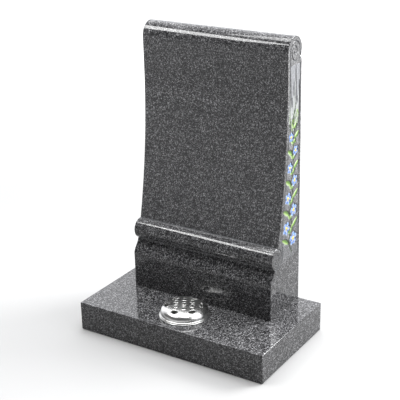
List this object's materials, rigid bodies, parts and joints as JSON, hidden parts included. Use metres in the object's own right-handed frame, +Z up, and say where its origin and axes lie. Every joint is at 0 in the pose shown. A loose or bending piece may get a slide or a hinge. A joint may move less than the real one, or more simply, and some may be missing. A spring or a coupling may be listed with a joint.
{
  "type": "scroll headstone",
  "caption": "Upright granite headstone cut as a rolled scroll with a carved and painted floral end, on a flat base slab that holds a flower pot under a pierced domed lid.",
  "frame": {"origin": "middle of the base slab's underside", "axes": "+Z up, +Y to the back, +X to the right of a person who faces the stone"},
  "size_m": [0.533, 0.305, 0.7619],
  "materials": {
    "granite": "polished",
    "carved_granite": "polished, with painted carving on one end",
    "pot_metal": "satin",
    "lid_metal": "polished"
  },
  "bodies": {
    "root": {"base_slab": "granite", "headstone": "carved_granite", "flower_pot": "pot_metal", "flower_pot_lid": "lid_metal"}
  },
  "joints": []
}
